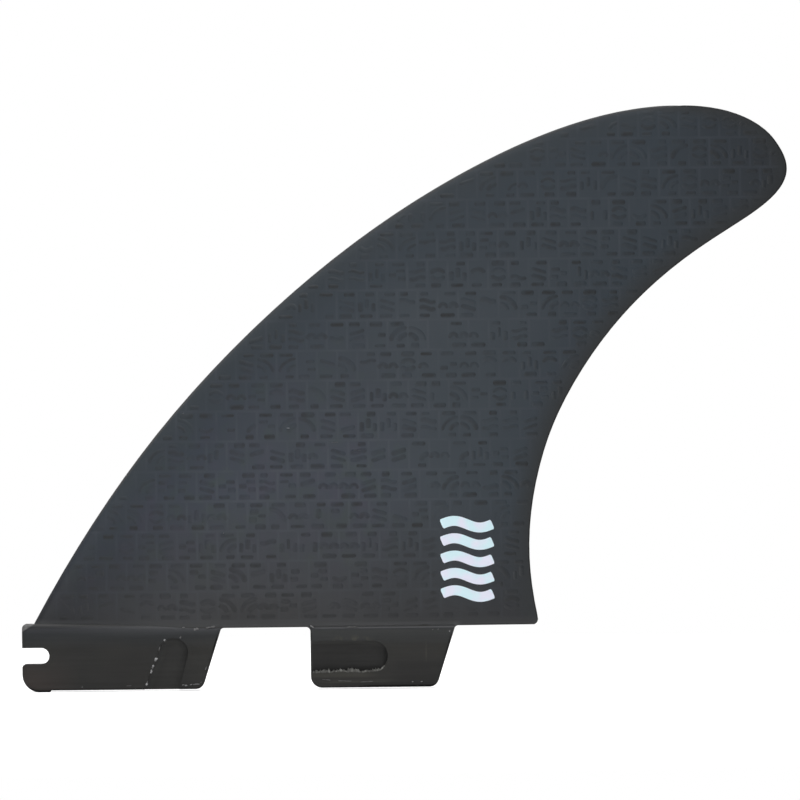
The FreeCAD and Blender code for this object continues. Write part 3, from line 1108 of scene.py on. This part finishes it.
def add_lights():
    """Plain soft studio light: a softbox before each face, one to the upper left, one above the
    front and one overhead, in an even surround that is grey for light and white to look at."""
    add_softbox("front_softbox", (20, -500, 63), (20, 0, 63), (140, 140), 0.345)
    add_softbox("left_softbox", (-520, -400, 160), (-20, 0, 50), (300, 300), 0.48)
    add_softbox("upper_softbox", (0, -450, 620), (20, 0, 40), (500, 300), 1.3)
    add_softbox("rear_softbox", (-10, 500, 40), (-10, 0, 40), (140, 140), 0.32)
    add_softbox("overhead_softbox", (40, 0, 900), (40, 60, 0), (1400, 1000), 11.0)
    world = bpy.data.worlds.new("studio_surround")
    world.use_nodes = True
    tree = world.node_tree
    looked_at = node_of(tree, "ShaderNodeLightPath").outputs["Is Camera Ray"]
    brightness = band(tree, looked_at, 0.0, 1.0, 0.2, 1.0)
    tree.links.new(brightness, tree.nodes["Background"].inputs["Strength"])
    tree.nodes["Background"].inputs["Color"].default_value = (1.0, 1.0, 1.0, 1.0)
    bpy.context.scene.world = world


def add_camera():
    """Camera straight before the outside face, rolled as the picture is, so far back that the
    frame spans its width at the blade."""
    data = bpy.data.cameras.new("camera")
    data.lens = lens
    data.sensor_width = sensor
    data.clip_start = clip_near * MM
    data.clip_end = clip_far * MM
    camera = bpy.data.objects.new("camera", data)
    right = (math.cos(view_roll), 0, -math.sin(view_roll))
    up = (math.sin(view_roll), 0, math.cos(view_roll))
    place = (view_centre_x, -frame_width * lens / sensor, view_centre_z)
    camera.matrix_world = standing(right, up, (0, 1, 0), place)
    bpy.context.scene.collection.objects.link(camera)
    bpy.context.scene.camera = camera


# Chips and dust: x, z, length, width, tilt from level in degrees, paleness
blade_dust = [
    (11.7, 45.2, 0.7, 0.35, 0, 0.8), (-12.2, 48.7, 0.45, 0.25, 30, 0.3),
    (22.3, 41.9, 1.6, 0.16, 2, 0.3), (27.3, 40.0, 1.9, 0.16, 0, 0.2),
    (-3.2, 21.5, 0.4, 0.3, 60, 0.3),
]
tab_chips = [
    (-16.8, -2.6, 0.5, 0.40, 60, 0.40), (-18.0, -4.5, 0.9, 0.28, 75, 0.25),
    (-18.9, -7.0, 0.9, 0.60, 60, 1.00), (-19.5, -8.6, 0.9, 0.55, 62, 0.60),
    (-19.9, -9.7, 0.9, 0.40, 70, 0.45), (-20.9, -12.4, 1.0, 0.42, 68, 0.60),
    (-13.2, -2.0, 0.6, 0.35, 65, 0.30), (-12.0, -12.9, 0.5, 0.45, -20, 0.70),
    (-12.6, -12.8, 0.6, 0.30, 15, 0.30), (-10.9, -12.8, 0.5, 0.30, 10, 0.35),
    (-9.7, -12.7, 1.6, 0.28, 3, 0.20), (-7.5, -9.1, 0.8, 0.22, 72, 0.35),
    (-8.6, -12.3, 0.5, 0.20, 50, 0.15), (-12.5, 0.2, 0.6, 0.30, 0, 0.15),
    (-9.6, -0.2, 1.1, 0.55, 12, 0.22), (-6.4, 0.2, 2.2, 0.35, 9, 0.16),
    (16.7, 0.1, 0.9, 0.35, -35, 0.55), (25.5, -0.1, 3.0, 0.28, 0, 0.12),
    (44.1, -0.8, 0.4, 0.25, 40, 0.20), (45.3, -0.8, 0.5, 0.25, 70, 0.20),
    (47.9, -1.2, 0.4, 0.35, 60, 0.60), (39.4, -12.6, 0.35, 0.28, 0, 0.24),
    (41.4, -12.6, 0.45, 0.25, 20, 0.30), (-35.6, -13.1, 0.35, 0.25, 0, 0.15),
    (-25.0, -12.9, 1.2, 0.15, 2, 0.10), (24.0, -12.3, 3.2, 0.20, -2, 0.10),
    (29.0, -12.5, 3.0, 0.18, 3, 0.10), (19.8, -12.0, 2.0, 0.20, -6, 0.12),
]

grain = moulded_grain_group()
blade_tone = blade_tone_group()
relief_material = relief_finish(grain, blade_tone)
torn_material = worn_plastic("torn_plastic", grain, (0.024, 0.024, 0.021), (0.205, 0.205, 0.192))
chip_material = worn_plastic("chipped_plastic", grain, (0.030, 0.030, 0.030), (0.55, 0.55, 0.56))
dust_material = worn_plastic("dust", grain, (0.030, 0.033, 0.038), (0.16, 0.17, 0.19))
fin.data.materials[0] = tab_finish(grain)
add_blade_skin(blade_finish(grain, blade_tone))
add_relief("relief_outside", foiled_face, -1, outside_blade, relief_material)
add_relief("relief_inside", flat_face, 1, within_blade, relief_material)
add_mark(pale_print())
add_ball_pocket_burr(torn_material)
add_flecks("tab_chips", tab_chips, tab_face, chip_height, chip_seed, chip_material)
add_flecks("blade_dust", blade_dust, foiled_face, dust_height, dust_seed, dust_material)
add_floor(studio_paint())
add_lights()
add_camera()
bpy.context.scene.view_settings.view_transform = "Standard"
